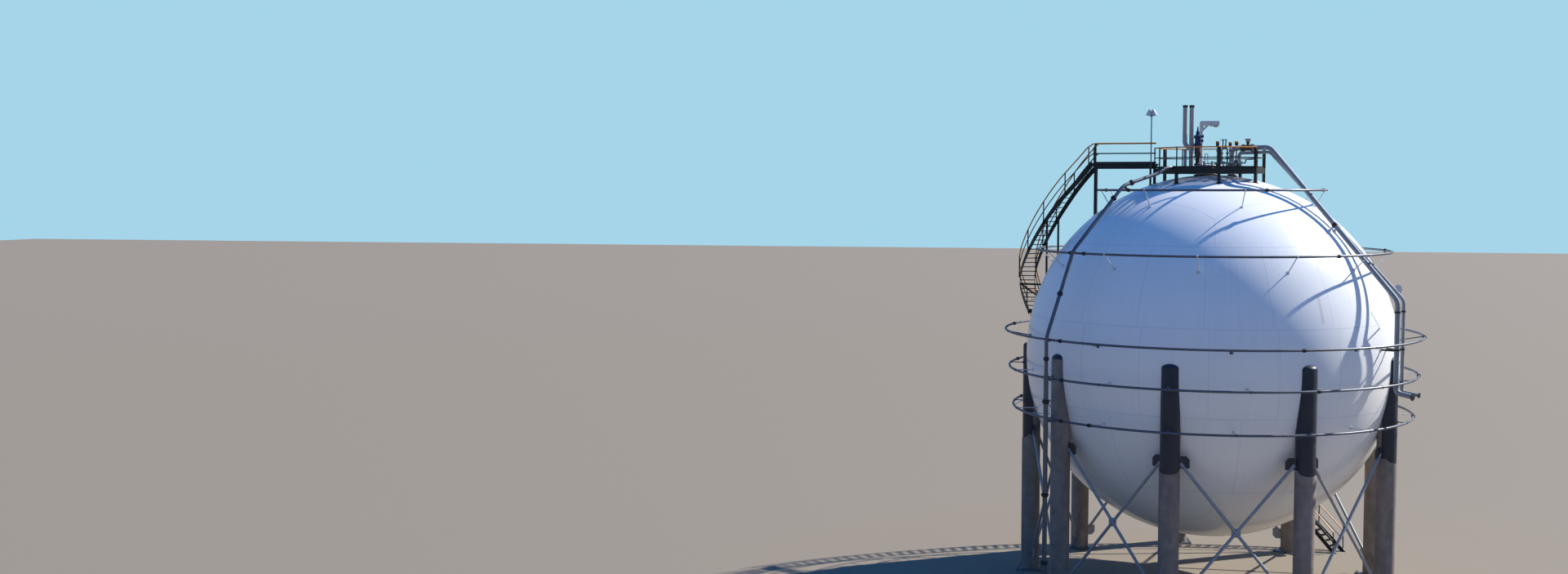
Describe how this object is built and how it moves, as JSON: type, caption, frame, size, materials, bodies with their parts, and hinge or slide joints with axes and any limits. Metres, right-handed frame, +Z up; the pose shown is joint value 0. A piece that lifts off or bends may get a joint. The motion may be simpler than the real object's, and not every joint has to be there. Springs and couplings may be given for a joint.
{
  "type": "spherical gas tank",
  "caption": "Welded steel sphere on columns with crossed bracing, spray rings, a crown platform and a curved access stair; stores liquefied gas under pressure.",
  "frame": {"origin": "bottom centre of the bounding box, at ground level", "axes": "+Z up; -Y faces the front of the usual view, with the riser at the front left and the process pipes at the front right; the stair head lies towards -X"},
  "size_m": [20.56, 21.5854, 24.301],
  "materials": {
    "white_paint": "gloss white paint",
    "fireproofed_leg": "matte cement coat under a slate steel stub",
    "galvanised_steel": "dull zinc",
    "metal_cladding": "satin metal jacket over insulation",
    "blue_paint": "gloss dark blue paint",
    "yellow_rail": "safety yellow paint",
    "black_steel": "satin near-black paint",
    "grey_steel": "satin grey paint"
  },
  "bodies": {
    "root": {"brace_1": "galvanised_steel", "brace_2": "galvanised_steel", "brace_3": "galvanised_steel", "brace_4": "galvanised_steel", "brace_5": "galvanised_steel", "brace_6": "galvanised_steel", "brace_7": "galvanised_steel", "brace_8": "galvanised_steel", "brace_9": "galvanised_steel", "crown_neck": "grey_steel", "davit": "grey_steel", "leg_1": "fireproofed_leg", "leg_2": "fireproofed_leg", "leg_3": "fireproofed_leg", "leg_4": "fireproofed_leg", "leg_5": "fireproofed_leg", "leg_6": "fireproofed_leg", "leg_7": "fireproofed_leg", "leg_8": "fireproofed_leg", "leg_9": "fireproofed_leg", "light_mast": "grey_steel", "platform_deck": "black_steel", "platform_frame": "black_steel", "platform_rail": "yellow_rail", "process_nozzle": "grey_steel", "process_pipe_large": "metal_cladding", "process_pipe_small": "metal_cladding", "relief_valve": "blue_paint", "shell_bottom_cap": "white_paint", "shell_equator_belt": "white_paint", "shell_lower_belt": "white_paint", "shell_top_cap": "white_paint", "shell_upper_belt": "white_paint", "spray_ring_1": "galvanised_steel", "spray_ring_2": "galvanised_steel", "spray_ring_3": "galvanised_steel", "spray_ring_4": "galvanised_steel", "spray_ring_5": "galvanised_steel", "spray_riser": "galvanised_steel", "stair_half_landing": "black_steel", "stair_lower_flight": "black_steel", "stair_lower_rail_inner": "yellow_rail", "stair_lower_rail_outer": "yellow_rail", "stair_middle_flight": "black_steel", "stair_middle_rail_inner": "yellow_rail", "stair_middle_rail_outer": "yellow_rail", "stair_quarter_landing": "black_steel", "stair_upper_flight": "black_steel", "stair_upper_rail_inner": "yellow_rail", "stair_upper_rail_outer": "yellow_rail", "valve_stand": "grey_steel", "vent_pipe_left": "grey_steel", "vent_pipe_right": "grey_steel", "walkway": "black_steel", "walkway_rail_back": "yellow_rail", "walkway_rail_front": "yellow_rail"}
  },
  "joints": []
}
